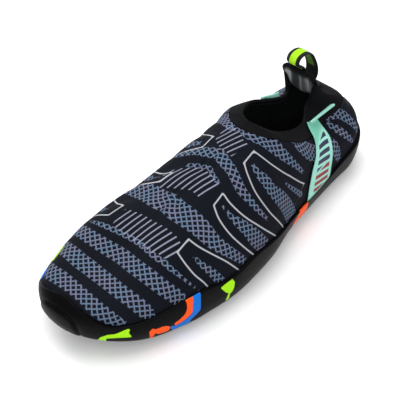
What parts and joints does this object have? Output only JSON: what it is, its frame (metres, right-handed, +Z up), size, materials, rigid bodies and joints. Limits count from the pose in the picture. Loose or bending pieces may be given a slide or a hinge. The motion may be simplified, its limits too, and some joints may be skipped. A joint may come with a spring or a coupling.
{
  "type": "water shoe",
  "caption": "Left knitted water shoe with a stretch collar, a heel tab with a webbing loop, side straps and a thin wrapped rubber sole.",
  "frame": {"origin": "on the floor, under the middle of the shoe's bounding box", "axes": "+X to the outer (little toe) side, +Y to the heel, -Y to the toe, +Z up"},
  "size_m": [0.103, 0.2735, 0.1024],
  "materials": {
    "knit": "printed stretch knit, matt",
    "stretch_black": "black stretch fabric, matt",
    "rubber_black": "satin, with colour splashes",
    "foam_black": "matt",
    "strap_mint": "smooth elastic band",
    "webbing_black": "woven webbing with a lime stripe"
  },
  "bodies": {
    "root": {"outsole": "rubber_black", "insole": "foam_black", "upper": "knit", "collar": "stretch_black", "lateral_strap": "strap_mint", "medial_strap": "strap_mint", "lateral_strap_fold": "strap_mint", "medial_strap_fold": "strap_mint", "pull_loop": "webbing_black"}
  },
  "joints": []
}
